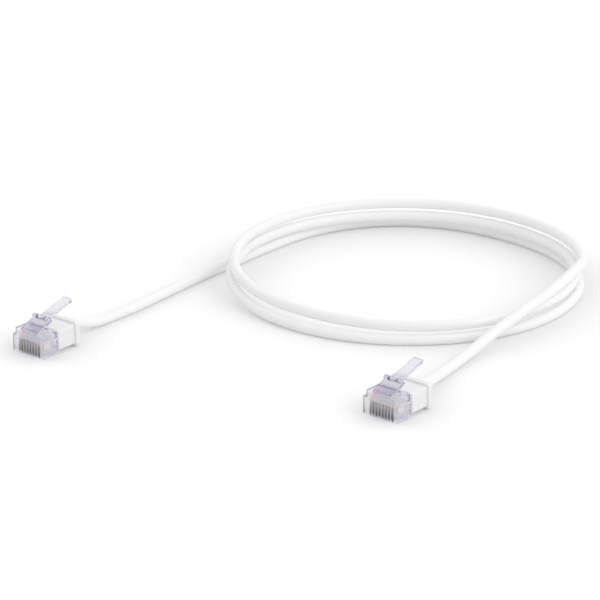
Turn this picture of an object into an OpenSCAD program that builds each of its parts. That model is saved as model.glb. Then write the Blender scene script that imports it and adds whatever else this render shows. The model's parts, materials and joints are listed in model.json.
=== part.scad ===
// Ethernet patch cable: two clear eight-contact plugs with white boots, joined by one slim round
// cable that lies in a small coil between them. Each plug is built with its nose at y = 0,
// pointing along -Y, its contacts down and its latch up; the second plug is the same, moved aside.

/* [Plug body] */
// Width of the plug across its lower part
plug_w = 11.68; // [11.4:0.02:12]
// Height of the plug from its underside to its top
plug_h = 6.7; // [6.6:0.05:7]
// Height of the wide lower part
step_h = 4.75; // [4.6:0.05:4.9]
// How far the upper part is set in on each side
step_in = 1.05; // [0.8:0.05:1.1]
// Length of the clear nose in front of the boot
nose_len = 5.7; // [5.5:0.1:6.2]
// Rounding of the upright corners of the nose
nose_round = 0.3; // [0.1:0.05:0.4]
// Height of the side grooves' lower lip
lip_h = 0.35; // [0.2:0.05:0.5]
// Height of the side grooves
groove_h = 1.35; // [1:0.05:1.5]
// Depth of the side grooves, pockets and windows
groove_deep = 0.6; // [0.3:0.05:0.8]
// Length of the pocket and the window in each side
window_len = 1.5; // [1:0.1:1.8]
// Height of the window in each side
window_h = 1.15; // [0.8:0.05:1.3]
// Height of the neck that the boot grips
neck_h = 4.4; // [4:0.1:4.6]
// Width of the neck that the boot grips
neck_w = 9.6; // [9.4:0.1:10]
// Length of the neck
neck_len = 5.5; // [5.2:0.1:5.8]

/* [Contacts and wires] */
// Spacing of the contacts
contact_pitch = 1.02; // [1:0.01:1.04]
// Width of each contact slot
slot_w = 0.52; // [0.48:0.02:0.7]
// Height of the contact slots
slot_h = 4.1; // [3.9:0.05:4.15]
// Length of the contact slots from the nose
slot_len = 4; // [3.8:0.1:4.2]
// Thickness of a contact blade
blade_t = 0.32; // [0.25:0.01:0.4]
// How far the blades are set back from the nose and from the underside
blade_back = 0.35; // [0.25:0.05:0.6]
// Length of a contact blade
blade_len = 3.2; // [2.8:0.1:3.4]
// Height of a contact blade's body
blade_h = 3.3; // [3:0.1:3.5]
// Outside diameter of one insulated wire
wire_d = 0.54; // [0.5:0.01:0.56]
// Diameter of the copper inside one wire
core_d = 0.22; // [0.16:0.02:0.24]
// Height of the row of wires above the underside
wire_z = 4.5; // [4.4:0.05:4.55]
// Thickness of the wall that stops the wires at the nose
wire_stop = 0.9; // [0.6:0.1:1.2]
// Length of the guide that spaces the wires
guide_len = 1; // [0.8:0.1:1.1]

/* [Latch] */
// Width of the latch at its root and shoulders
latch_w = 5.9; // [5.6:0.1:6.2]
// Width of the latch's lever
lever_w = 3.2; // [2.8:0.1:3.4]
// Thickness of the latch
latch_t = 0.8; // [0.7:0.05:0.9]
// Radius of the latch's root
root_r = 0.52; // [0.5:0.01:0.6]
// Slope of the latch's wide part above the plug when it is free
root_slope = 24; // [23:0.5:27]
// Distance of the shoulders' locking faces from the root
shoulder_at = 5.5; // [5.2:0.1:5.8]
// Length of the shoulders
shoulder_len = 1; // [0.9:0.05:1.3]
// How far the shoulders stand above the latch
shoulder_rise = 0.7; // [0.6:0.05:0.9]
// Width of the two cored holes in the shoulders
hole_w = 0.7; // [0.5:0.05:0.9]
// Length of the lever from the middle of the shoulders to its tip
lever_len = 10.5; // [9:0.2:11]
// Slope of the lever above the plug when the latch is free
lever_slope = 16; // [15:0.5:18]
// Rounding of the lever's tip
tip_round = 0.4; // [0.3:0.1:1]

/* [Boot] */
// Width of the boot
boot_w = 11.5; // [11.3:0.05:11.6]
// Height of the gap between the boot's underside and the plug's underside
boot_lift = 0.9; // [0.7:0.05:1]
// Length of the boot in front of its flange
boot_len = 6.1; // [6:0.1:6.6]
// Rounding of the boot's long edges
boot_round = 0.6; // [0.3:0.05:0.8]
// Width of the flange
flange_w = 12.5; // [12.1:0.05:12.8]
// Height of the flange
flange_h = 7.05; // [6.8:0.05:7.1]
// Thickness of the flange
flange_t = 1.8; // [1.4:0.1:2]
// Rounding of the flange's corners
flange_round = 1; // [0.6:0.1:1.4]
// Length of the collar behind the flange
collar_len = 1; // [0.6:0.1:1.4]
// Wall of the collar at its rear edge
collar_wall = 0.25; // [0.15:0.05:0.4]

/* [Cable] */
// Outside diameter of the cable
cable_d = 3; // [2.95:0.01:3.05]
// Thickness of the cable's jacket
jacket_wall = 0.38; // [0.32:0.01:0.39]
// Height of the cable's axis where it leaves a boot
exit_z = 4; // [3.9:0.05:4.05]
// Least clearance between the turns of the coil
turn_gap = 0.45; // [0.42:0.01:0.6]
// Number of flat sides of the cable's tube
cable_sides = 8; // [8:2:12]
// Number of rings in one turn of the coil
turn_rings = 48; // [24:8:64]

/* [Hidden] */
$fn = 32;
fit = 0.02; // clearance between pieces that sit in each other
run = 0.1; // running clearance beside the latch
eps = 1; // overshoot of a cut past the face that it opens
contact_count = 8;

// Plug places derived from the sizes above
plug_b = [99, 26.5, 0];
cable_r = cable_d / 2;
wire_r = wire_d / 2;
core_r = core_d / 2;
flange_y = nose_len + boot_len;
plug_len = flange_y + flange_t;
neck_end = nose_len + neck_len;
neck_z = plug_h - 0.65 - neck_h;
boot_h = plug_h - boot_lift - 0.1;
flange_z = 0.15;
cavity_w = 8 * contact_pitch + 0.24;
cavity_y = slot_len + 0.6;
cavity_end = neck_end - 1.2;
cavity_z = exit_z - cable_r - 0.2;
cavity_h = cable_d + 0.2;
pocket_w = latch_w + 4 * run;
root_y = root_r + 0.4;
root_z = plug_h - 0.15;
pocket_z = root_z - root_r - 2 * fit;
guide_y = cavity_y + fit;
fan_y = guide_y + guide_len + wire_r;
fan_end = cavity_end - wire_d;

// Where the eight wires sit in the jacket: one in the middle, seven round it
seat_r = cable_r - jacket_wall - wire_r - 0.03;
seat_steps = [0, 1, 6, -1, 5, 4, 2, 3];
seat_turn = 168;

function unit(v) = v / norm(v);
function pin_x(i) = (i - (contact_count - 1) / 2) * contact_pitch;
function seat_angle(i) = seat_turn - seat_steps[i] * 360 / 7;
function seat_x(i) = seat_steps[i] < 0 ? 0 : seat_r * cos(seat_angle(i));
function seat_z(i) = seat_steps[i] < 0 ? 0 : seat_r * sin(seat_angle(i));
function wire_path(i) = [
    [pin_x(i), wire_stop, wire_z],
    [pin_x(i), fan_y, wire_z],
    [seat_x(i), fan_end, exit_z + seat_z(i)],
    [seat_x(i), plug_len, exit_z + seat_z(i)]
];

// The cable's route, from the first plug through the coil to the second.
// Layers of the coil lie one above the other, a turn and its clearance apart.
low = cable_r;
layer = cable_d + turn_gap;
top = low + 2 * layer;
coil_x = 44.5;
coil_y = 107;
// Radius of the loose coil at each eighth of a turn, clockwise from its left side
coil_radii = [
    47.5, 48.5, 46, 47.5, 47, 46, 47.5, 50,
    47, 44, 44, 46.5, 45.5, 45, 44.5, 49,
    47.5, 45, 45, 48, 49.5
];
coil_eighths = 19.2;
// Eighths of a turn at which a climb to the next layer starts, and how long it takes
climb_starts = [6.1, 14.1];
climb_eighths = 1.6;

tail_a_points = [
    [0, plug_len, exit_z],
    [0, plug_len + 3, exit_z],
    [0, 19.5, 3.4],
    [0, 22.5, 2.5],
    [0, 26, 1.8],
    [0, 30, low],
    [0, 36, low],
    [0, 42, low],
    [-0.5, 49, low],
    [-1, 56, low],
    [-1.5, 63, low],
    [-2, 70, low],
    [-2.3, 77, low],
    [-2.6, 84, low],
    [-2.8, 91, low],
    [-3, 97, low],
    [-3, 102, low]
];
tail_b_points = [
    [86.4, 128, top],
    [88.2, 121.8, top],
    [89.7, 116, top],
    [90.9, 110.3, 8.3],
    [91.7, 104.5, 7.9],
    [91.9, 98.3, 7.2],
    [91.9, 92.3, 6],
    [91.5, 86.5, 4.7],
    [91.4, 81, 3.4],
    [91.7, 75, 2.3],
    [92.4, 69, 1.7],
    [93.4, 63, low],
    [94.8, 56.5, 1.8],
    [96.5, 51.5, 2.6],
    [98.1, 47.2, 3.5],
    plug_b + [0, plug_len + 3, exit_z],
    plug_b + [0, plug_len, exit_z]
];

function ease(t) = t <= 0 ? 0 : t >= 1 ? 1 : t * t * (3 - 2 * t);
function radius_at(k) = coil_radii[max(0, min(len(coil_radii) - 1, k))];
// Radius between two eighths, on the smooth curve through four of the listed ones
function coil_radius(k, u) =
    (2 * radius_at(k) + (radius_at(k + 1) - radius_at(k - 1)) * u
    + (2 * radius_at(k - 1) - 5 * radius_at(k) + 4 * radius_at(k + 1) - radius_at(k + 2)) * u * u
    + (3 * radius_at(k) - radius_at(k - 1) - 3 * radius_at(k + 1) + radius_at(k + 2)) * u * u * u) / 2;
function coil_height(e) =
    low + layer * (ease((e - climb_starts[0]) / climb_eighths)
    + ease((e - climb_starts[1]) / climb_eighths));
function coil_point(e) =
    let (
        r = coil_radius(floor(e), e - floor(e)),
        a = 180 - 45 * e
    )
    [coil_x + r * cos(a), coil_y + r * sin(a), coil_height(e)];
coil_steps = ceil(coil_eighths * turn_rings / 8);
coil_points = [for (i = [0 : coil_steps]) coil_point(i * coil_eighths / coil_steps)];

route = concat(tail_a_points, coil_points, tail_b_points);
coil_first = len(tail_a_points);
coil_last = coil_first + coil_steps;
route_last = len(route) - 1;

// The cable leaves both plugs square to their flanges
function heading(i) =
    i == 0 ? [0, 1, 0] : i == route_last ? [0, -1, 0] : unit(route[i + 1] - route[i - 1]);
function ring(i) =
    let (
        ahead = heading(i),
        side = unit(cross(ahead, [0, 0, 1])),
        up = cross(side, ahead)
    )
    [for (k = [0 : cable_sides - 1])
        let (a = k * 360 / cable_sides)
        route[i] + cable_r * (cos(a) * side + sin(a) * up)];

// Least clearance of the cable to itself, measured on points along the whole route
finer = 4;
measure_points = [
    for (i = [0 : route_last - 1], s = [0 : finer - 1])
        route[i] + (route[i + 1] - route[i]) * s / finer
];
measure_skip = 10 * finer;
least_gap = min([
    for (i = [0 : len(measure_points) - 1], j = [i + measure_skip : len(measure_points) - 1])
        norm(measure_points[i] - measure_points[j])
]) - cable_d;
function length_from(i, last) = i >= last ? 0 : norm(route[i + 1] - route[i]) + length_from(i + 1, last);
echo(least_gap_mm = least_gap);
echo(cable_length_mm = length_from(0, route_last));

// A flat outline in x and z, carried along +Y
module along_y(length) {
    translate([0, length, 0])
        rotate([90, 0, 0])
            linear_extrude(length)
                children();
}

// A rectangle with round corners, its middle at the bottom
module round_rect(w, h, r) {
    translate([-w / 2, r])
        square([w, h - 2 * r]);
    translate([-w / 2 + r, 0])
        square([w - 2 * r, h]);
    for (x = [-w / 2 + r, w / 2 - r], z = [r, h - r])
        translate([x, z])
            circle(r);
}

// A box given by its middle in x and its low corner in y and z
module block(w, l, h) {
    translate([-w / 2, 0, 0])
        cube([w, l, h]);
}

// A round wire along its points, its straight rods lapped by one radius at each bend
module wire_run(points, r) {
    last = len(points) - 2;
    for (k = [0 : last]) {
        ahead = unit(points[k + 1] - points[k]);
        from = points[k] - (k > 0 ? r : 0) * ahead;
        to = points[k + 1] + (k < last ? r : 0) * ahead;
        translate(from)
            rotate([0, acos(ahead[2]), atan2(ahead[1], ahead[0])])
                cylinder(h = norm(to - from), r = r);
    }
}

module at_plug_b() {
    translate(plug_b)
        children();
}

// The eight blades, grown by a clearance where they are cut out of other pieces.
// Their teeth stop just under the copper, and the cuts for them open its bore.
module blades(grow) {
    tooth_w = 0.5;
    tooth_top = grow > 0 ? wire_z - core_r / 2 : wire_z - core_r - fit;
    for (i = [0 : contact_count - 1])
        translate([pin_x(i) - blade_t / 2 - grow, blade_back, blade_back])
            union() {
                cube([blade_t + 2 * grow, blade_len, blade_h]);
                for (y = [0.9, 2])
                    translate([0, y - grow, 0])
                        cube([
                            blade_t + 2 * grow,
                            tooth_w + 2 * grow,
                            tooth_top - blade_back
                        ]);
            }
}

module nose_section() {
    upper_w = plug_w - 2 * step_in;
    translate([-plug_w / 2, 0])
        square([plug_w, step_h]);
    translate([-upper_w / 2, 0])
        square([upper_w, plug_h]);
}

// What the nose's upright front corners lose to their rounding
module corner_cut(x, side) {
    translate([x, 0, 0])
        difference() {
            translate([side > 0 ? -nose_round : -eps, -eps, -eps])
                cube([nose_round + eps, nose_round + eps, plug_h + 2 * eps]);
            translate([-side * nose_round, nose_round, -2 * eps])
                cylinder(r = nose_round, h = plug_h + 4 * eps);
        }
}

module housing() {
    upper_x = plug_w / 2 - step_in;
    pocket_y = nose_len - window_len - 0.4;
    color([0.82, 0.8, 0.9, 0.45])
        difference() {
            union() {
                along_y(nose_len)
                    nose_section();
                translate([0, nose_len - eps, neck_z])
                    block(neck_w, neck_len + eps, neck_h);
            }
            for (side = [-1, 1]) {
                corner_cut(side * plug_w / 2, side);
                // The upper corners, above the step only
                translate([0, 0, step_h + eps])
                    corner_cut(side * upper_x, side);
                // The long groove, the pocket behind it and the window above the pocket
                translate([side * plug_w / 2, 0, 0]) {
                    translate([0, nose_round + 0.1, lip_h])
                        block(2 * groove_deep, pocket_y - nose_round, groove_h);
                    translate([0, pocket_y, lip_h + 0.5])
                        block(2 * groove_deep, window_len, groove_h + 0.6);
                    translate([0, pocket_y, step_h - 0.55 - window_h])
                        block(2 * groove_deep, window_len, window_h);
                }
                // The shallow line across the nose's side walls
                translate([side * (plug_w / 2 + pin_x(contact_count - 1) + slot_w) / 2, -eps, 2.2])
                    block(plug_w / 2 - pin_x(contact_count - 1) - slot_w, eps + 0.2, 0.2);
            }
            for (i = [0 : contact_count - 1]) {
                translate([pin_x(i), -eps, -eps])
                    block(slot_w, slot_len + eps, slot_h + eps);
                translate([pin_x(i), wire_stop, wire_z])
                    rotate([-90, 0, 0])
                        cylinder(r = wire_r + fit, h = cavity_y - wire_stop + eps);
            }
            // The room for the wires, the bore for the cable and the way under the latch
            translate([0, cavity_y, cavity_z])
                block(cavity_w, cavity_end - cavity_y, cavity_h);
            translate([0, cavity_end - fit, exit_z])
                rotate([-90, 0, 0])
                    cylinder(r = cable_r + fit, h = neck_end - cavity_end + eps);
            translate([0, -eps, pocket_z])
                block(pocket_w, nose_len + 2 * eps, plug_h);
            blades(fit);
        }
}

module latch() {
    hole_h = shoulder_rise - 0.2;
    lever_start = 0.3;
    color([0.88, 0.88, 0.94, 0.45])
        translate([0, root_y, root_z])
            rotate([root_slope, 0, 0])
                difference() {
                    union() {
                        rotate([0, 90, 0])
                            cylinder(r = root_r, h = latch_w, center = true);
                        translate([0, 0, -latch_t / 2])
                            block(latch_w, shoulder_at, latch_t);
                        translate([0, shoulder_at - shoulder_len, -latch_t / 2])
                            block(latch_w, shoulder_len, latch_t + shoulder_rise);
                        translate([0, shoulder_at - shoulder_len / 2, 0])
                            rotate([lever_slope - root_slope, 0, 0])
                                translate([0, -lever_start, -latch_t / 2])
                                    linear_extrude(latch_t)
                                        round_rect(lever_w, lever_len + lever_start, tip_round);
                    }
                    for (side = [-1, 1])
                        translate([side * 1.3, shoulder_at - shoulder_len - eps, latch_t / 2 + 0.1])
                            block(hole_w, shoulder_len - 0.3 + eps, hole_h);
                }
}

module contacts() {
    color("gold")
        blades(0);
}

module wire_guide() {
    color("whitesmoke")
        difference() {
            translate([0, guide_y, cavity_z + fit])
                block(cavity_w - 2 * fit, guide_len, cavity_h - 2 * fit);
            for (i = [0 : contact_count - 1])
                translate([pin_x(i), guide_y - eps, wire_z])
                    rotate([-90, 0, 0])
                        cylinder(r = wire_r + fit, h = guide_len + 2 * eps);
        }
}

// The insulated wires of one pair, with the holes for their copper and the contacts' cuts
module wires(pins) {
    difference() {
        for (i = pins)
            wire_run(wire_path(i), wire_r);
        for (i = pins)
            wire_run(wire_path(i), core_r);
        blades(fit);
    }
}

module copper_cores() {
    color("peru")
        for (i = [0 : contact_count - 1])
            wire_run(wire_path(i), core_r);
}

module jacket_end() {
    color("white")
        translate([0, cavity_end, exit_z])
            rotate([-90, 0, 0])
                difference() {
                    cylinder(r = cable_r, h = plug_len - cavity_end);
                    translate([0, 0, -eps])
                        cylinder(r = cable_r - jacket_wall, h = plug_len - cavity_end + 2 * eps);
                }
}

module boot() {
    color("white")
        difference() {
            union() {
                translate([0, nose_len, boot_lift])
                    along_y(boot_len + eps)
                        round_rect(boot_w, boot_h, boot_round);
                translate([0, flange_y, flange_z])
                    along_y(flange_t)
                        round_rect(flange_w, flange_h, flange_round);
                translate([0, flange_y + flange_t, exit_z])
                    rotate([-90, 0, 0])
                        cylinder(
                            r1 = cable_r + 3 * collar_wall,
                            r2 = cable_r + collar_wall,
                            h = collar_len
                        );
            }
            translate([0, nose_len - eps, neck_z - fit])
                block(neck_w + 2 * fit, neck_len + eps + fit, neck_h + 2 * fit);
            translate([0, nose_len, exit_z])
                rotate([-90, 0, 0])
                    cylinder(r = cable_r + fit, h = plug_len);
        }
}

// One stretch of the cable as an eight-sided tube through its rings
module cable(first, last) {
    rings = last - first;
    n = cable_sides;
    points = [for (i = [first : last]) each ring(i)];
    walls = [
        for (i = [0 : rings - 1], k = [0 : n - 1])
            let (
                a = i * n + k,
                b = i * n + (k + 1) % n
            )
            each [[a, b, b + n], [a, b + n, a + n]]
    ];
    caps = [
        for (k = [1 : n - 2])
            each [[0, k + 1, k], [rings * n, rings * n + k, rings * n + k + 1]]
    ];
    color("white")
        polyhedron(points = points, faces = concat(walls, caps), convexity = 10);
}

housing();  // housing_a
latch();  // latch_a
contacts();  // contacts_a
wire_guide();  // wire_guide_a
color("orange") wires([0, 1]);  // wires_orange_a
color("seagreen") wires([2, 5]);  // wires_green_a
color("royalblue") wires([3, 4]);  // wires_blue_a
color("saddlebrown") wires([6, 7]);  // wires_brown_a
copper_cores();  // copper_cores_a
jacket_end();  // jacket_end_a
boot();  // boot_a
at_plug_b() housing();  // housing_b
at_plug_b() latch();  // latch_b
at_plug_b() contacts();  // contacts_b
at_plug_b() wire_guide();  // wire_guide_b
at_plug_b() color("orange") wires([0, 1]);  // wires_orange_b
at_plug_b() color("seagreen") wires([2, 5]);  // wires_green_b
at_plug_b() color("royalblue") wires([3, 4]);  // wires_blue_b
at_plug_b() color("saddlebrown") wires([6, 7]);  // wires_brown_b
at_plug_b() copper_cores();  // copper_cores_b
at_plug_b() jacket_end();  // jacket_end_b
at_plug_b() boot();  // boot_b
cable(0, coil_first);  // cable_tail_a
cable(coil_first, coil_last);  // cable_coil
cable(coil_last, route_last);  // cable_tail_b
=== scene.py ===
import json
import math

import bpy
import numpy as np
from bpy.props import (
    FloatProperty, FloatVectorProperty, IntProperty, PointerProperty, StringProperty)
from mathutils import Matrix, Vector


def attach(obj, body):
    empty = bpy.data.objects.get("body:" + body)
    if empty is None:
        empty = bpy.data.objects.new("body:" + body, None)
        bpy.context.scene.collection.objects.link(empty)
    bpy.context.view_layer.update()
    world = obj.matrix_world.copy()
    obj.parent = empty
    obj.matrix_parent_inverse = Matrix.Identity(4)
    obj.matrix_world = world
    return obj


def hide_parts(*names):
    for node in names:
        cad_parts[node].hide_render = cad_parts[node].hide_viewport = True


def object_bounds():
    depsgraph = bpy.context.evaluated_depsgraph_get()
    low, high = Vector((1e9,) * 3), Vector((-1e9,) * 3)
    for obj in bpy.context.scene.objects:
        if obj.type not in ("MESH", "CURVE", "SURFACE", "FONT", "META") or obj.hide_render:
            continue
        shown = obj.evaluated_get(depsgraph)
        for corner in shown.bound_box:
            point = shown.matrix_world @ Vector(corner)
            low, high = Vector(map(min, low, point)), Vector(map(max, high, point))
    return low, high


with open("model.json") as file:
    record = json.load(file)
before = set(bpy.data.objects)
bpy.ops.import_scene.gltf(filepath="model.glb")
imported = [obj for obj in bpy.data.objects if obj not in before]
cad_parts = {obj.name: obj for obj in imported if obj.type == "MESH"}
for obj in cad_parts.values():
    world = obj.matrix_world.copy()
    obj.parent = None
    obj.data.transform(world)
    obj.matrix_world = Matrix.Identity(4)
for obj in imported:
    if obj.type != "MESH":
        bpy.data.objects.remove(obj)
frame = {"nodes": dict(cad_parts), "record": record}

bl_info = {
    "name": "Ethernet Patch Cable",
    "version": (1, 0, 0),
    "blender": (4, 5, 0),
    "location": "3D View > Sidebar > Patch Cable",
    "description": "Lays the cable, moulds the boots and finishes the plugs of a patch cable",
    "category": "Object",
}

MM = 0.001
CAD_BOX = [list(map(float, corner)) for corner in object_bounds()]
BODY = "cable"
ENDS = ("a", "b")


def plug_origin(end):
    """The middle of a plug's lower front edge, from its mount in the record, in metres."""
    for mount in frame["record"]["mounts"]:
        if mount["name"] == f"plug_{end}_entry":
            return np.array(mount["pos_m"], float)
    raise RuntimeError(f"the record has no mount plug_{end}_entry")


# ---------------------------------------------------------------- materials

# A colour Mix node's two colours and its result, by number, because their names aren't unique
FIRST, SECOND, MIXED = 6, 7, 2


def linear(hex_colour):
    """An sRGB hex colour as linear RGBA: a twelfth part below the knee, a power curve above it."""
    channels = [int(hex_colour[i:i + 2], 16) / 255 for i in (1, 3, 5)]
    return [c / 12.92 if c <= 0.04045 else ((c + 0.055) / 1.055) ** 2.4 for c in channels] + [1.0]


def add(tree, kind, settings=None, links=None):
    """Adds one node. Settings that name or number an input set its value, the rest are the node's
    own properties; links name or number an input and give (node, output)."""
    made = tree.nodes.new(kind)
    for key, value in (settings or {}).items():
        if isinstance(key, int) or key in made.inputs:
            made.inputs[key].default_value = value
        else:
            setattr(made, key, value)
    for key, (source, output) in (links or {}).items():
        tree.links.new(source.outputs[output], made.inputs[key])
    return made


def material(name, settings):
    """A new material with one Principled shader: (material, tree, shader)."""
    made = bpy.data.materials.new(name)
    made.use_nodes = True
    tree = made.node_tree
    tree.nodes.clear()
    shader = add(tree, "ShaderNodeBsdfPrincipled", settings)
    add(tree, "ShaderNodeOutputMaterial", links={"Surface": (shader, "BSDF")})
    return made, tree, shader


def object_axes(tree):
    """The place on the object in metres, one output for each of X, Y and Z."""
    place = add(tree, "ShaderNodeTexCoord")
    return add(tree, "ShaderNodeSeparateXYZ", links={"Vector": (place, "Object")})


def object_noise(tree, grain, detail=2.0):
    """Noise in object space whose cells are about one grain (metres) across."""
    place = add(tree, "ShaderNodeTexCoord")
    return add(
        tree, "ShaderNodeTexNoise", {"Scale": 1 / grain, "Detail": detail},
        {"Vector": (place, "Object")})


def vary(tree, shader, socket, noise, low, high):
    """Lets a number on the shader wander between two values with the noise."""
    spread = add(
        tree, "ShaderNodeMapRange",
        {"From Min": 0.3, "From Max": 0.7, "To Min": low, "To Max": high},
        {"Value": (noise, "Fac")})
    tree.links.new(spread.outputs["Result"], shader.inputs[socket])


def tint(tree, shader, factor, output, first, second):
    """Blends the base colour from first to second as the factor node's output goes from 0 to 1."""
    blend = add(
        tree, "ShaderNodeMix",
        {"data_type": "RGBA", FIRST: linear(first), SECOND: linear(second)},
        {"Factor": (factor, output)})
    tree.links.new(blend.outputs[MIXED], shader.inputs["Base Color"])
    return blend


def soft_pvc(name, first, second, roughness, grain, corner_shade=None):
    """Flexible PVC, extruded or moulded: a soft even white with a satin gloss and a fine skin,
    whose grain is drawn coarser than the real one so that it shows. Corner_shade is the share of
    the white left in inner corners: painted shade, darkening the colour where the parts meet."""
    made, tree, shader = material(name, {"IOR": 1.53})
    cloud = object_noise(tree, 6 * MM)
    skin = object_noise(tree, grain, 3.0)
    blend = tint(tree, shader, cloud, "Fac", first, second)
    if corner_shade is not None:
        # Painted shade: the colour is darkened in inner corners, found by a short ambient-occlusion
        # test
        near = add(
            tree, "ShaderNodeAmbientOcclusion",
            {"samples": 12, "Distance": 0.8 * MM, "only_local": True})
        painted_crease_shade = add(
            tree, "ShaderNodeMapRange", {"From Min": 0.45, "From Max": 0.95, "To Min": corner_shade},
            {"Value": (near, "AO")})
        painted_shade_colour = add(
            tree, "ShaderNodeVectorMath", {"operation": "SCALE"},
            {"Vector": (blend, MIXED), "Scale": (painted_crease_shade, "Result")})
        tree.links.new(painted_shade_colour.outputs["Vector"], shader.inputs["Base Color"])
    vary(tree, shader, "Roughness", cloud, roughness - 0.04, roughness + 0.04)
    relief = add(
        tree, "ShaderNodeBump", {"Strength": 0.6, "Distance": 0.012 * MM},
        {"Height": (skin, "Fac")})
    tree.links.new(relief.outputs["Normal"], shader.inputs["Normal"])
    return made


def clear_polycarbonate(name, colour, edge, transmission, roughness, plain):
    """Clear moulded polycarbonate: faintly lavender and a little milky from the mould. Its edges
    are
    painted in the edge colour: a painted highlight where that is lighter than the plastic, painted
    shade where it is darker. The edge is where a normal rounded over a quarter of a millimetre
    turns away from the face's own. Plain is the share of the reflected and refracted rays that
    cross a wall as if it weren't there. Returns (material, tree, shader, blend of the colours)."""
    made, tree, shader = material(name, {"IOR": 1.585, "Transmission Weight": transmission})
    haze = object_noise(tree, 2 * MM)
    vary(tree, shader, "Roughness", haze, roughness, roughness + 0.06)
    rounded = add(tree, "ShaderNodeBevel", {"samples": 12, "Radius": 0.28 * MM})
    face = add(tree, "ShaderNodeNewGeometry")
    turn = add(
        tree, "ShaderNodeVectorMath", {"operation": "DOT_PRODUCT"},
        {0: (rounded, "Normal"), 1: (face, "Normal")})
    painted_edge_mask = add(
        tree, "ShaderNodeMapRange", {"From Min": 0.995, "From Max": 0.85},
        {"Value": (turn, "Value")})
    # Painted edges: the colour goes to the edge colour where the rounded normal turns from the face
    blend = tint(tree, shader, painted_edge_mask, "Result", colour, edge)
    # The light on the wires inside passes the walls, as it does through real clear plastic
    path = add(tree, "ShaderNodeLightPath")
    lit = add(
        tree, "ShaderNodeMath", {"operation": "MAXIMUM"},
        {0: (path, "Is Shadow Ray"), 1: (path, "Is Diffuse Ray")})
    once = add(
        tree, "ShaderNodeMath", {"operation": "MULTIPLY", 1: plain}, {0: (path, "Is Glossy Ray")})
    lit = add(
        tree, "ShaderNodeMath", {"operation": "MAXIMUM"}, {0: (lit, "Value"), 1: (once, "Value")})
    through_wall = add(tree, "ShaderNodeBsdfTransparent", {"Color": linear("#FCFBFF")})
    both = add(
        tree, "ShaderNodeMixShader",
        links={0: (lit, "Value"), 1: (shader, "BSDF"), 2: (through_wall, "BSDF")})
    tree.links.new(both.outputs["Shader"], tree.nodes["Material Output"].inputs["Surface"])
    return made, tree, shader, blend


def housing_plastic(end, size):
    """The housing's clear polycarbonate, its edges painted white as a painted highlight. Its walls
    that turn towards -X, away from the softbox, get painted shade where they are seen edge on:
    on its far side, and low on its front."""
    # The white edge colour is a painted highlight
    made, tree, shader, blend = clear_polycarbonate(
        f"clear_polycarbonate_{end}", size.clear_colour, "#FFFFFF", 0.5, size.haze, 0.75)
    far_side = plug_origin(end)[0] - 3.6 * MM
    slots_top = 4.2 * MM
    # The lean is the greater of two X values: that of the normal rounded over a millimetre, and
    # how far that has turned from the face's own, so it is low only where an edge does both
    wide = add(tree, "ShaderNodeBevel", {"samples": 12, "Radius": 1.0 * MM})
    face = add(tree, "ShaderNodeNewGeometry")
    change = add(
        tree, "ShaderNodeVectorMath", {"operation": "SUBTRACT"},
        {0: (wide, "Normal"), 1: (face, "Normal")})
    turned = add(tree, "ShaderNodeSeparateXYZ", links={"Vector": (wide, "Normal")})
    change = add(tree, "ShaderNodeSeparateXYZ", links={"Vector": (change, "Vector")})
    lean = add(
        tree, "ShaderNodeMath", {"operation": "MAXIMUM"}, {0: (turned, "X"), 1: (change, "X")})
    painted_shade_share = add(
        tree, "ShaderNodeMapRange", {"From Min": -0.12, "From Max": -0.24},
        {"Value": (lean, "Value")})
    axes = object_axes(tree)
    side = add(tree, "ShaderNodeMath", {"operation": "LESS_THAN", 1: far_side}, {0: (axes, "X")})
    low = add(tree, "ShaderNodeMath", {"operation": "LESS_THAN", 1: slots_top}, {0: (axes, "Z")})
    where = add(
        tree, "ShaderNodeMath", {"operation": "MAXIMUM"}, {0: (side, "Value"), 1: (low, "Value")})
    painted_shade_share = add(
        tree, "ShaderNodeMath", {"operation": "MULTIPLY"},
        {0: (painted_shade_share, "Result"), 1: (where, "Value")})
    # Painted shade: these edges are mixed towards a dark grey
    painted_shade_edges = add(
        tree, "ShaderNodeMix", {"data_type": "RGBA", SECOND: linear("#3E3A48")},
        {"Factor": (painted_shade_share, "Value"), FIRST: (blend, MIXED)})
    tree.links.new(painted_shade_edges.outputs[MIXED], shader.inputs["Base Color"])
    return made


# The latch, in metres from its plug's place: its root, the slope of its plate there, the middle of
# its two cored holes (ahead of the root and above it, along the slope), and the holes' half sizes,
# of which the first is from the middle to a hole's own middle
LATCH_ROOT = np.array((0, 0.92, 6.55)) * MM
LATCH_SLOPE = math.radians(24)
HOLES_AHEAD, HOLES_ABOVE = 4.84 * MM, 0.75 * MM
HOLES_HALF = (1.3 * MM, 0.38 * MM, 0.28 * MM)
HOLE_REACH = 0.29


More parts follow.
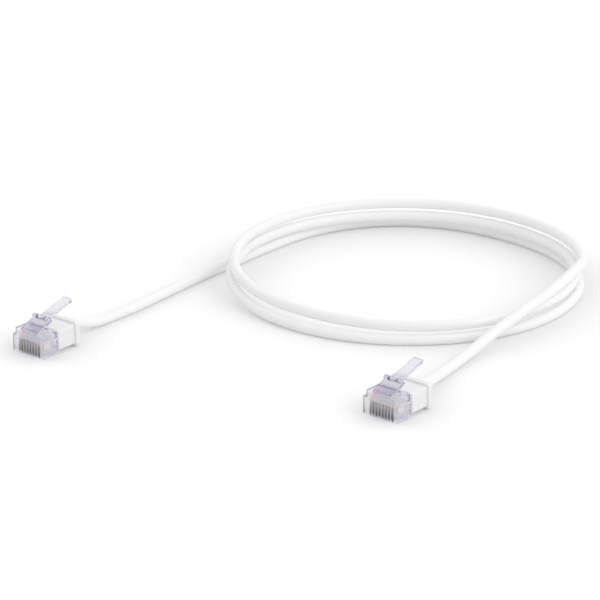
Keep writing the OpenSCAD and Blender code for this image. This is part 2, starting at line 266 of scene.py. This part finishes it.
def latch_holes(tree, origin):
    """The mask of the painted shade in the latch's cored holes: 1 in the hole on the -X side of its
    shoulders, about half in the other and 0 elsewhere. The place is turned by the slope about the
    middle of the holes and measured in their half sizes: a hole is where that is 1 across, give
    or take its reach, and less than 1 along and up."""
    flat, steep = math.cos(LATCH_SLOPE), math.sin(LATCH_SLOPE)
    middle = np.array(origin) + LATCH_ROOT + (
        0, HOLES_AHEAD * flat - HOLES_ABOVE * steep, HOLES_AHEAD * steep + HOLES_ABOVE * flat)
    place = add(tree, "ShaderNodeTexCoord")
    local = add(
        tree, "ShaderNodeMapping",
        {"vector_type": "TEXTURE", "Location": middle, "Rotation": (LATCH_SLOPE, 0, 0),
         "Scale": HOLES_HALF},
        {"Vector": (place, "Object")})
    size = add(tree, "ShaderNodeVectorMath", {"operation": "ABSOLUTE"}, {0: (local, "Vector")})
    axes = add(tree, "ShaderNodeSeparateXYZ", links={"Vector": (size, "Vector")})
    beside = add(
        tree, "ShaderNodeMath", {"operation": "COMPARE", 1: 1.0, 2: HOLE_REACH},
        {0: (axes, "X")})
    far = add(tree, "ShaderNodeMath", {"operation": "MAXIMUM"}, {0: (axes, "Y"), 1: (axes, "Z")})
    within = add(tree, "ShaderNodeMath", {"operation": "LESS_THAN", 1: 1.0}, {0: (far, "Value")})
    both = add(
        tree, "ShaderNodeMath", {"operation": "MULTIPLY"},
        {0: (beside, "Value"), 1: (within, "Value")})
    across = add(tree, "ShaderNodeSeparateXYZ", links={"Vector": (local, "Vector")})
    # Painted shade: the hole on the -X side is painted darker than the other
    depth = add(
        tree, "ShaderNodeMapRange",
        {"From Min": -1.0, "From Max": 1.0, "To Min": 1.0, "To Max": 0.55},
        {"Value": (across, "X")})
    return add(
        tree, "ShaderNodeMath", {"operation": "MULTIPLY"},
        {0: (both, "Value"), 1: (depth, "Result")})


def latch_plastic(end, size):
    """The latch's clear polycarbonate: thinner and clearer than the housing's, with painted grey
    shade on its edges, a darker colour on the plate near its root, and painted shade on the walls
    of its two cored holes."""
    lever_colour, plate_colour = "#EDECF2", "#DFDCE9"
    # The grey edge colour is painted shade
    made, tree, shader, blend = clear_polycarbonate(
        f"clear_polycarbonate_latch_{end}", lever_colour, "#A8A8B2", 0.82, size.haze, 0.0)
    origin = plug_origin(end)
    plate_end, lever_start = origin[1] + 4.2 * MM, origin[1] + 6.5 * MM
    axes = object_axes(tree)
    along = add(
        tree, "ShaderNodeMapRange", {"From Min": plate_end, "From Max": lever_start},
        {"Value": (axes, "Y")})
    body = add(
        tree, "ShaderNodeMix",
        {"data_type": "RGBA", FIRST: linear(plate_colour), SECOND: linear(lever_colour)},
        {"Factor": (along, "Result")})
    tree.links.new(body.outputs[MIXED], blend.inputs[FIRST])
    holes = latch_holes(tree, origin)
    # Painted shade in the two cored holes
    painted_hole_shade = add(
        tree, "ShaderNodeMix", {"data_type": "RGBA", SECOND: linear("#2C2A30")},
        {"Factor": (holes, "Value"), FIRST: (blend, MIXED)})
    tree.links.new(painted_hole_shade.outputs[MIXED], shader.inputs["Base Color"])
    return made


def gold_plate():
    """Gold flash over nickel on stamped bronze: a warm metal, with painted light and shade: painted
    pale near its top, where the light reaches it, and painted dark in the depth of its slot."""
    made, tree, shader = material("gold_flash_contact", {"Metallic": 1.0})
    wear = object_noise(tree, 0.4 * MM)
    vary(tree, shader, "Roughness", wear, 0.28, 0.42)
    axes = object_axes(tree)
    # Painted light and shade: dark low in the slot, pale near the top
    painted_slot_shade = add(
        tree, "ShaderNodeMapRange", {"From Min": 1.2 * MM, "From Max": 3.0 * MM},
        {"Value": (axes, "Z")})
    tint(tree, shader, painted_slot_shade, "Result", "#665E52", "#E4DED4")
    return made


def bare_copper():
    """Bare copper wire: a bright reddish metal."""
    made, tree, shader = material("bare_copper", {"Metallic": 1.0})
    wear = object_noise(tree, 0.3 * MM)
    tint(tree, shader, wear, "Fac", "#C77B55", "#B4683F")
    vary(tree, shader, "Roughness", wear, 0.25, 0.4)
    return made


def natural_nylon():
    """Natural nylon: a milky off-white, slightly uneven."""
    made, tree, shader = material("natural_nylon", {"IOR": 1.53})
    cloud = object_noise(tree, 1.5 * MM)
    tint(tree, shader, cloud, "Fac", "#EFEDF6", "#E4E2EE")
    vary(tree, shader, "Roughness", cloud, 0.4, 0.5)
    return made


def wire_insulation(name, colour, striped_from, striped_to, top):
    """Polyethylene wire insulation: one wire in the pair's colour, the other white with a stripe
    of it along its top. Both lie side by side, so the place across the plug tells them apart."""
    made, tree, shader = material(name, {"IOR": 1.51, "Roughness": 0.35})
    axes = object_axes(tree)
    after = add(
        tree, "ShaderNodeMath", {"operation": "GREATER_THAN", 1: striped_from}, {0: (axes, "X")})
    before = add(
        tree, "ShaderNodeMath", {"operation": "LESS_THAN", 1: striped_to}, {0: (axes, "X")})
    below = add(tree, "ShaderNodeMath", {"operation": "LESS_THAN", 1: top}, {0: (axes, "Z")})
    inside = add(
        tree, "ShaderNodeMath", {"operation": "MULTIPLY"},
        {0: (after, "Value"), 1: (before, "Value")})
    white = add(
        tree, "ShaderNodeMath", {"operation": "MULTIPLY"},
        {0: (inside, "Value"), 1: (below, "Value")})
    tint(tree, shader, white, "Value", colour, "#ECEAE6")
    return made


def seen_rays(tree):
    """1 for rays from the camera, mirrors and clear plastic, 0 for the light on things."""
    path = add(tree, "ShaderNodeLightPath")
    shiny = add(
        tree, "ShaderNodeMath", {"operation": "MAXIMUM"},
        {0: (path, "Is Camera Ray"), 1: (path, "Is Glossy Ray")})
    return add(
        tree, "ShaderNodeMath", {"operation": "MAXIMUM"},
        {0: (shiny, "Value"), 1: (path, "Is Transmission Ray")})


def white_room(size):
    """A white room round everything: plain white where it is seen, and for the light on things
    a little dimmer at its walls than at its ceiling."""
    world = bpy.data.worlds.new("white_room")
    world.use_nodes = True
    tree = world.node_tree
    tree.nodes.clear()
    way = add(tree, "ShaderNodeTexCoord")
    height = add(tree, "ShaderNodeSeparateXYZ", links={"Vector": (way, "Generated")})
    walls = add(
        tree, "ShaderNodeMapRange", {"To Min": size.walls, "To Max": size.ceiling},
        {"Value": (height, "Z")})
    strength = add(
        tree, "ShaderNodeMapRange", {"To Max": 1.0},
        {"Value": (seen_rays(tree), "Value"), "To Min": (walls, "Result")})
    room = add(
        tree, "ShaderNodeBackground", {"Color": (1, 1, 1, 1)}, {"Strength": (strength, "Result")})
    add(tree, "ShaderNodeOutputWorld", links={"Surface": (room, "Background")})
    return world


def matt_white_card(size):
    """Matt white card: a diffuse sheet, lifted a little where it is seen so that it reads as
    white, while the shadows that fall on it stay. Where it is seen it also has a broad faint
    painted shade round whatever stands near: the open share of the sky, raised to a power."""
    card = bpy.data.materials.new("matt_white_card")
    card.use_nodes = True
    tree = card.node_tree
    tree.nodes.clear()
    seen = seen_rays(tree)
    tone = add(
        tree, "ShaderNodeMapRange",
        {"To Min": size.floor_tone, "To Max": size.floor_white - size.floor_lift},
        {"Value": (seen, "Value")})
    # Painted shade on the floor where it is seen: darker the less of the sky is open nearby
    near = add(
        tree, "ShaderNodeAmbientOcclusion", {"samples": 16, "Distance": size.shade_reach})
    sharp = add(
        tree, "ShaderNodeMath", {"operation": "POWER", 1: size.shade_power}, {0: (near, "AO")})
    ring = add(
        tree, "ShaderNodeMapRange", {"To Min": size.shade_tone, "To Max": 1.0},
        {"Value": (sharp, "Value")})
    shade = add(
        tree, "ShaderNodeMapRange", {"To Min": 1.0},
        {"Value": (seen, "Value"), "To Max": (ring, "Result")})
    tone = add(
        tree, "ShaderNodeMath", {"operation": "MULTIPLY"},
        {0: (tone, "Result"), 1: (shade, "Result")})
    sheet = add(tree, "ShaderNodeBsdfDiffuse", links={"Color": (tone, "Value")})
    lift = add(
        tree, "ShaderNodeMapRange", {"To Min": 0.0, "To Max": size.floor_lift},
        {"Value": (seen, "Value")})
    lift = add(
        tree, "ShaderNodeMath", {"operation": "MULTIPLY"},
        {0: (lift, "Result"), 1: (shade, "Result")})
    glow = add(
        tree, "ShaderNodeEmission", {"Color": (1, 1, 1, 1)}, {"Strength": (lift, "Value")})
    both = add(tree, "ShaderNodeAddShader", links={0: (sheet, "BSDF"), 1: (glow, "Emission")})
    add(tree, "ShaderNodeOutputMaterial", links={"Surface": (both, "Shader")})
    return card


def finish_node(node, finish):
    """Gives a CAD node's object one material."""
    slots = frame["nodes"][node].data.materials
    slots.clear()
    slots.append(finish)


# ---------------------------------------------------------------- surfaces


def lattice(rows, columns, wrap_rows):
    """The quads of a grid whose columns close into a loop, and its rows too if asked."""
    r = np.arange(rows if wrap_rows else rows - 1)[:, None]
    c = np.arange(columns)[None, :]
    above, beside = (r + 1) % rows, (c + 1) % columns
    corners = (r * columns + c, r * columns + beside, above * columns + beside, above * columns + c)
    return np.stack(corners, -1).reshape(-1, 4)


def put_mesh(name, vertices, faces, finish, uv=None):
    """A smooth-shaded object of the vertices and faces; uv gives a pair for each vertex."""
    mesh = bpy.data.meshes.new(name)
    mesh.from_pydata(vertices.tolist(), [], [list(map(int, f)) for f in faces])
    mesh.materials.append(finish)
    mesh.shade_smooth()
    if uv is not None:
        layer = mesh.uv_layers.new(name="along_and_round")
        corner = np.empty(len(mesh.loops), np.int32)
        mesh.loops.foreach_get("vertex_index", corner)
        layer.uv.foreach_set("vector", uv[corner].astype(np.float32).ravel())
    mesh.update()
    made = bpy.data.objects.new(name, mesh)
    bpy.context.scene.collection.objects.link(made)
    return made


# The cable's route in millimetres, as the CAD lays it: the first tail, the coil's radius at each
# eighth of a turn, clockwise from its left side, and the second tail, which ends at its plug. Its
# middle is LOW on the floor and TOP on the top turn, with a LAYER from turn to turn, and it goes
# into both boots at EXIT_Z. It climbs from turn to turn at the listed eighths.
LOW, TOP, LAYER = 1.5, 8.4, 3.45
EXIT_Z = 4.0
TAIL_A = (
    (0, 13.6, EXIT_Z), (0, 16.6, EXIT_Z), (0, 19.5, 3.4), (0, 22.5, 2.5), (0, 26, 1.8),
    (0, 30, LOW), (0, 36, LOW), (0, 42, LOW), (-0.5, 49, LOW), (-1, 56, LOW), (-1.5, 63, LOW),
    (-2, 70, LOW), (-2.3, 77, LOW), (-2.6, 84, LOW), (-2.8, 91, LOW), (-3, 97, LOW), (-3, 102, LOW),
)
COIL_CENTRE = (44.5, 107.0)
COIL_RADII = (
    47.5, 48.5, 46, 47.5, 47, 46, 47.5, 50, 47, 44, 44, 46.5, 45.5, 45, 44.5, 49,
    47.5, 45, 45, 48, 49.5,
)
COIL_EIGHTHS = 19.2
COIL_STEPS = 154
CLIMB_STARTS = (6.1, 14.1)
CLIMB_EIGHTHS = 1.6
TAIL_B = (
    (86.4, 128, TOP), (88.2, 121.8, TOP), (89.7, 116, TOP), (90.9, 110.3, 8.3), (91.7, 104.5, 7.9),
    (91.9, 98.3, 7.2), (91.9, 92.3, 6), (91.5, 86.5, 4.7), (91.4, 81, 3.4), (91.7, 75, 2.3),
    (92.4, 69, 1.7), (93.4, 63, LOW), (94.8, 56.5, 1.8), (96.5, 51.5, 2.6), (98.1, 47.2, 3.5),
    (99, 43.1, EXIT_Z), (99, 40.1, EXIT_Z),
)


def coil_points():
    """The coil's centreline. Its radius runs on the smooth curve through the listed ones, its
    angle falls evenly from the left side, and it climbs one layer at each climb with an eased
    step: three times the square less twice the cube."""
    e = np.linspace(0, COIL_EIGHTHS, COIL_STEPS)
    k = np.floor(e).astype(int)
    u = e - k
    listed = np.array(COIL_RADII)
    p0, p1, p2, p3 = (listed[np.clip(k + d, 0, len(listed) - 1)] for d in (-1, 0, 1, 2))
    r = (2 * p1 + (p2 - p0) * u + (2 * p0 - 5 * p1 + 4 * p2 - p3) * u ** 2
         + (3 * p1 - p0 - 3 * p2 + p3) * u ** 3) / 2
    a = np.radians(180 - 45 * e)
    climbs = [np.clip((e - start) / CLIMB_EIGHTHS, 0, 1) for start in CLIMB_STARTS]
    z = LOW + LAYER * sum(t * t * (3 - 2 * t) for t in climbs)
    return np.stack([COIL_CENTRE[0] + r * np.cos(a), COIL_CENTRE[1] + r * np.sin(a), z], -1)


def through(points, spacing):
    """A smooth curve through the points, cut into even steps: each span is a cubic whose ends
    have the slope of the chords beside them, weighed by length."""
    points = np.asarray(points, float)
    chord = np.linalg.norm(np.diff(points, axis=0), axis=1)
    at = np.r_[0, np.cumsum(chord)]
    slope = np.diff(points, axis=0) / chord[:, None]
    weigh = chord[1:] / (chord[1:] + chord[:-1])
    middle = slope[:-1] * weigh[:, None] + slope[1:] * (1 - weigh)[:, None]
    tangent = np.vstack([slope[:1], middle, slope[-1:]])
    fine = np.linspace(0, at[-1], int(at[-1] / spacing) + 1)
    k = np.clip(np.searchsorted(at, fine, side="right") - 1, 0, len(chord) - 1)
    t = ((fine - at[k]) / chord[k])[:, None]
    h = chord[k][:, None]
    return ((2 * t ** 3 - 3 * t ** 2 + 1) * points[k] + (t ** 3 - 2 * t ** 2 + t) * h * tangent[k]
            + (3 * t ** 2 - 2 * t ** 3) * points[k + 1] + (t ** 3 - t ** 2) * h * tangent[k + 1])


def tube(name, centres, radii, sides, finish):
    """A round tube: a circle of the given radius set square to the centreline at each centre,
    closed by a fan at both ends. UV is the length along it and the turn round it."""
    ahead = np.gradient(centres, axis=0)
    ahead /= np.linalg.norm(ahead, axis=1)[:, None]
    side = np.cross(ahead, (0, 0, 1))
    side /= np.linalg.norm(side, axis=1)[:, None]
    up = np.cross(side, ahead)
    a = np.linspace(0, 2 * math.pi, sides, endpoint=False)
    ring = np.cos(a)[None, :, None] * side[:, None] + np.sin(a)[None, :, None] * up[:, None]
    wall = (centres[:, None] + radii[:, None, None] * ring).reshape(-1, 3)
    count = len(centres)
    vertices = np.vstack([wall, centres[:1], centres[-1:]])
    quads = lattice(count, sides, False)[:, ::-1]
    k = np.arange(sides)
    near = np.stack([(k + 1) % sides, k, np.full(sides, count * sides)], -1)
    far = np.stack([k, (k + 1) % sides, np.full(sides, count * sides + 1)], -1)
    far[:, :2] += (count - 1) * sides
    along = np.r_[0, np.cumsum(np.linalg.norm(np.diff(centres, axis=0), axis=1))]
    uv = np.stack([np.repeat(along, sides), np.tile(a / (2 * math.pi), count)], -1)
    uv = np.vstack([uv, (along[0], 0), (along[-1], 0)])
    faces = list(quads) + list(near[:, ::-1]) + list(far[:, ::-1])
    return put_mesh(name, vertices, faces, finish, uv)


def rounded_ring(half_width, half_height, corner, middle_z, y, count):
    """One ring: a rectangle with quarter-circle corners in the x-z plane at y, with the same
    number of points on each corner, so rings of any shape join point to point."""
    quarter = count // 4
    a = np.linspace(0, math.pi / 2, quarter)[None, :] + np.arange(4)[:, None] * math.pi / 2
    sign_x = np.array([1, -1, -1, 1])[:, None]
    sign_z = np.array([1, 1, -1, -1])[:, None]
    x = sign_x * (half_width - corner) + corner * np.cos(a)
    z = sign_z * (half_height - corner) + corner * np.sin(a) + middle_z
    return np.stack([x.ravel(), np.full(x.size, y), z.ravel()], -1)


def boot_rings(size, count):
    """The boot's outline from its bore round the front lip to the flange and collar and back,
    as rings of (y, half width, half height, corner, middle height) in millimetres."""
    neck_w, neck_h, neck_z = 4.83, 2.23, 3.85
    block_z, flange_z = 3.75, 3.675
    bore = 1.53
    mouth = [
        (11.2, bore, bore, bore, EXIT_Z),
        (11.2, neck_w - 0.4, neck_h - 0.4, 0.3, neck_z),
        (11.1, neck_w, neck_h, 0.2, neck_z),
        (5.8, neck_w, neck_h, 0.2, neck_z),
        (5.7, neck_w + 0.1, neck_h + 0.1, 0.25, neck_z),
    ]
    block = [
        (5.7, 5.2, 2.3), (5.72, 5.45, 2.55), (5.8, 5.62, 2.72), (5.95, 5.72, 2.81),
        (6.2, 5.75, 2.85), (8.0, 5.75, 2.85), (10.5, 5.75, 2.85), (11.55, 5.75, 2.85),
    ]
    step = [(11.72, 5.78, 2.88, 0.65, block_z), (11.8, 5.9, 3.0, 0.7, 3.72)]
    flange = [
        (11.82, 6.05, 3.3, 0.9), (11.95, 6.2, 3.48, 1.0), (12.15, 6.25, 3.525, 1.0),
        (13.25, 6.25, 3.525, 1.0), (13.45, 6.2, 3.48, 1.0), (13.58, 6.05, 3.3, 0.95),
        (13.6, 5.8, 3.05, 0.9),
    ]
    collar = [
        (13.6, 2.6), (13.66, 2.35), (13.9, 2.12), (14.4, 1.84), (14.55, 1.74), (14.6, 1.6),
        (14.5, bore), (13.0, bore),
    ]
    rows = mouth + [(y, w, h, size.boot_round / MM, block_z) for y, w, h in block] + step
    rows += [(y, w, h, corner, flange_z) for y, w, h, corner in flange]
    rows += [(y, r, r, r, EXIT_Z) for y, r in collar]
    rings = [rounded_ring(w, h, corner, z, y, count) for y, w, h, corner, z in rows]
    return np.concatenate(rings), len(rows)


# ---------------------------------------------------------------- settings


class CableSettings(bpy.types.PropertyGroup):
    """Sizes and colours of the cable"""
    diameter: FloatProperty(
        name="Diameter", description="Outside diameter of the jacket", default=3 * MM,
        min=2 * MM, max=4 * MM, unit="LENGTH")
    ring_step: FloatProperty(
        name="Ring step", description="Distance between the rings of the tube", default=1.2 * MM,
        min=0.5 * MM, max=4 * MM, unit="LENGTH")
    sides: IntProperty(
        name="Sides", description="Number of faces round the tube", default=28, min=8, max=64)
    lay: FloatProperty(
        name="Lay", description="Length in which the pairs inside twist once round",
        default=11 * MM, min=5 * MM, max=40 * MM, unit="LENGTH")
    colour: StringProperty(
        name="Jacket colour", description="sRGB hex colour of the jacket", default="#FBFBFB")


class PlugSettings(bpy.types.PropertyGroup):
    """Sizes and colours of the two plugs"""
    boot_round: FloatProperty(
        name="Boot rounding", description="Radius of the boot's long edges", default=0.6 * MM,
        min=0.1 * MM, max=1 * MM, unit="LENGTH")
    boot_colour: StringProperty(
        name="Boot colour", description="sRGB hex colour of the boot", default="#F3F3F3")
    clear_colour: StringProperty(
        name="Plug tint", description="sRGB hex colour of the clear plastic", default="#F4F2F9")
    haze: FloatProperty(
        name="Haze", description="Roughness of the clear plastic", default=0.05, min=0, max=1,
        subtype="FACTOR")
    contact_pitch: FloatProperty(
        name="Contact pitch", description="Distance from wire to wire", default=1.02 * MM,
        min=0.9 * MM, max=1.2 * MM, unit="LENGTH")


class StageSettings(bpy.types.PropertyGroup):
    """Camera, softbox, white room and floor"""
    azimuth: FloatProperty(
        name="Azimuth", description="Turn of the camera round the object",
        default=math.radians(40.1), subtype="ANGLE")
    elevation: FloatProperty(
        name="Elevation", description="Height of the camera above the floor, as an angle",
        default=math.radians(21), subtype="ANGLE")
    distance: FloatProperty(
        name="Distance", description="From the camera to what it looks at", default=0.952,
        min=0.2, unit="LENGTH")
    target: FloatVectorProperty(
        name="Target", description="Point that the camera looks at", size=3,
        default=(0.029, 0.0778, 0.0), subtype="TRANSLATION")
    lens: FloatProperty(
        name="Lens", description="Focal length in millimetres on a 36 mm sensor", default=205.74,
        min=20)
    walls: FloatProperty(
        name="Wall light", description="Strength of the white room near the floor", default=0.64,
        min=0, max=3)
    ceiling: FloatProperty(
        name="Ceiling light", description="Strength of the white room overhead", default=0.97,
        min=0, max=3)
    lamp: FloatProperty(
        name="Softbox", description="Power of the softbox", default=7.1, min=0, subtype="POWER")
    lamp_size: FloatProperty(
        name="Softbox size", description="Side of the softbox's square", default=1.4, min=0.1,
        unit="LENGTH")
    lamp_place: FloatVectorProperty(
        name="Softbox place", description="From the object's middle to the softbox's, on its right",
        size=3, default=(1.37, 0.498, 0.912), subtype="TRANSLATION")
    floor_tone: FloatProperty(
        name="Floor tone", description="Grey of the floor for the light that it throws on things",
        default=0.86, min=0, max=1, subtype="FACTOR")
    floor_white: FloatProperty(
        name="Floor white", description="White of the floor where it is seen, with its lift",
        default=1.08, min=0, max=2)
    floor_lift: FloatProperty(
        name="Floor lift", description="Share of the floor's white that no shadow takes away",
        default=0.35, min=0, max=1, subtype="FACTOR")
    shade_tone: FloatProperty(
        name="Shade tone", description="White left at the foot of whatever stands on the floor",
        default=0.83, min=0, max=1, subtype="FACTOR")
    shade_reach: FloatProperty(
        name="Shade reach", description="How far things shade the floor round them",
        default=30 * MM, min=1 * MM, unit="LENGTH")
    shade_power: FloatProperty(
        name="Shade power", description="How broad the shade is: the power of the open share",
        default=7.0, min=1, max=20)


# ---------------------------------------------------------------- making


class PATCH_OT_stage(bpy.types.Operator):
    """Sets the camera, the softbox, the white room and the floor"""
    bl_idname = "patch_cable.stage"
    bl_label = "Set the stage"

    def execute(self, context):
        scene, size = context.scene, context.scene.patch_stage
        target = np.array(size.target)
        flat = math.cos(size.elevation)
        back = np.array([
            math.sin(size.azimuth) * flat, -math.cos(size.azimuth) * flat,
            math.sin(size.elevation)])
        lens = bpy.data.cameras.new("camera")
        lens.sensor_width = 36
        lens.lens = size.lens
        lens.clip_start = 0.01
        camera = bpy.data.objects.new("camera", lens)
        camera.location = target + size.distance * back
        camera.rotation_euler = (math.pi / 2 - size.elevation, 0, size.azimuth)
        scene.collection.objects.link(camera)
        scene.camera = camera

        lamp = bpy.data.lights.new("softbox", "AREA")
        lamp.shape, lamp.size, lamp.energy = "SQUARE", size.lamp_size, size.lamp
        box = bpy.data.objects.new("softbox", lamp)
        middle = (np.array(CAD_BOX[0]) + np.array(CAD_BOX[1])) / 2
        box.location = middle + np.array(size.lamp_place)
        aim = middle - np.array(box.location)
        yaw = math.atan2(aim[1], aim[0])
        pitch = math.atan2(math.hypot(aim[0], aim[1]), -aim[2])
        box.rotation_euler = (0, -pitch, yaw)
        scene.collection.objects.link(box)
        scene.world = white_room(size)

        reach, below = 3.0, 0.02 * MM
        ground = CAD_BOX[0][2] - below
        square = np.array([[-1, -1, 0], [1, -1, 0], [1, 1, 0], [-1, 1, 0]], float) * reach
        corners = square + [target[0], target[1], ground]
        floor = put_mesh("floor", corners, [(0, 1, 2, 3)], matt_white_card(size))
        scene.view_settings.view_transform = "Standard"
        return {"FINISHED"}


class PATCH_OT_cable(bpy.types.Operator):
    """Lays the white cable from boot to boot as one round tube"""
    bl_idname = "patch_cable.lay_cable"
    bl_label = "Lay the cable"

    def execute(self, context):
        size = context.scene.patch_cable
        route = np.vstack([TAIL_A, coil_points(), TAIL_B]) * MM
        centres = through(route, size.ring_step)
        centres[:, 2] = np.maximum(centres[:, 2], size.diameter / 2)
        along = np.r_[0, np.cumsum(np.linalg.norm(np.diff(centres, axis=0), axis=1))]
        # The jacket is drawn over four twisted pairs, so its skin swells by a hair with their lay
        hair = 0.004
        swell = 1 - hair * (1 + np.sin(2 * math.pi * along / size.lay))
        radii = size.diameter / 2 * swell
        jacket = soft_pvc("extruded_pvc_jacket", size.colour, "#F9F9F9", 0.4, 0.35 * MM)
        cable = tube("white_cable", centres, radii, size.sides, jacket)
        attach(cable, BODY)
        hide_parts("cable_tail_a", "cable_coil", "cable_tail_b")
        for end in ENDS:
            finish_node(f"jacket_end_{end}", jacket)
        return {"FINISHED"}


class PATCH_OT_boots(bpy.types.Operator):
    """Moulds the white boot with its flange and collar on each plug"""
    bl_idname = "patch_cable.mould_boots"
    bl_label = "Mould the boots"

    def execute(self, context):
        size = context.scene.patch_plug
        points_round = 96
        # The last number is the white left under the painted shade in the boots' inner corners
        vinyl = soft_pvc("moulded_pvc_boot", size.boot_colour, "#F0F0F1", 0.36, 0.25 * MM, 0.72)
        for end in ENDS:
            vertices, rows = boot_rings(size, points_round)
            place = vertices * MM + plug_origin(end)
            faces = lattice(rows, points_round, True)
            boot = put_mesh(f"boot_shell_{end}", place, faces, vinyl)
            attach(boot, BODY)
            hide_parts(f"boot_{end}")
        return {"FINISHED"}


class PATCH_OT_plugs(bpy.types.Operator):
    """Finishes the clear housings and latches, the contacts and the wire guides"""
    bl_idname = "patch_cable.finish_plugs"
    bl_label = "Finish the plugs"

    def execute(self, context):
        size = context.scene.patch_plug
        metal_and_nylon = {
            "contacts": gold_plate(), "wire_guide": natural_nylon(), "copper_cores": bare_copper()}
        for end in ENDS:
            finish_node(f"housing_{end}", housing_plastic(end, size))
            finish_node(f"latch_{end}", latch_plastic(end, size))
            for piece, finish in metal_and_nylon.items():
                finish_node(f"{piece}_{end}", finish)
        return {"FINISHED"}


class PATCH_OT_wires(bpy.types.Operator):
    """Colours the four pairs of wires: one solid wire and one striped white wire in each"""
    bl_idname = "patch_cable.colour_wires"
    bl_label = "Colour the wires"

    def execute(self, context):
        size = context.scene.patch_plug
        # Each pair's colour, and the place of its striped wire among the eight, counted from 0
        pairs = {
            "orange": ("#E07A48", 0), "green": ("#3F9E68", 2), "blue": ("#3F78C8", 4),
            "brown": ("#7C3B33", 6)}
        middle_place = 3.5
        stripe_height = 4.65 * MM
        for end in ENDS:
            middle = plug_origin(end)[0]
            for pair, (colour, striped) in pairs.items():
                x = middle + (striped - middle_place) * size.contact_pitch
                half = size.contact_pitch / 2
                finish = wire_insulation(
                    f"polyethylene_{pair}_{end}", colour, x - half, x + half, stripe_height)
                finish_node(f"wires_{pair}_{end}", finish)
        return {"FINISHED"}


class PATCH_PT_panel(bpy.types.Panel):
    """Lists the steps that dress the patch cable"""
    bl_idname = "PATCH_PT_panel"
    bl_label = "Ethernet Patch Cable"
    bl_space_type = "VIEW_3D"
    bl_region_type = "UI"
    bl_category = "Patch Cable"

    def draw(self, context):
        for group in GROUPS:
            column = self.layout.column(align=True)
            settings = getattr(context.scene, group)
            for name in settings.bl_rna.properties.keys():
                if name not in ("rna_type", "name"):
                    column.prop(settings, name)
        for step in STEPS:
            self.layout.operator(step.bl_idname)


STEPS = (PATCH_OT_stage, PATCH_OT_cable, PATCH_OT_boots, PATCH_OT_plugs, PATCH_OT_wires)
GROUPS = {"patch_cable": CableSettings, "patch_plug": PlugSettings, "patch_stage": StageSettings}


def register():
    for group, kind in GROUPS.items():
        bpy.utils.register_class(kind)
        setattr(bpy.types.Scene, group, PointerProperty(type=kind))
    for kind in (*STEPS, PATCH_PT_panel):
        bpy.utils.register_class(kind)


def unregister():
    for kind in (PATCH_PT_panel, *reversed(STEPS)):
        bpy.utils.unregister_class(kind)
    for group, kind in GROUPS.items():
        delattr(bpy.types.Scene, group)
        bpy.utils.unregister_class(kind)


def main():
    register()
    for step in STEPS:
        group, name = step.bl_idname.split(".")
        getattr(getattr(bpy.ops, group), name)()


if __name__ == "__main__":
    main()
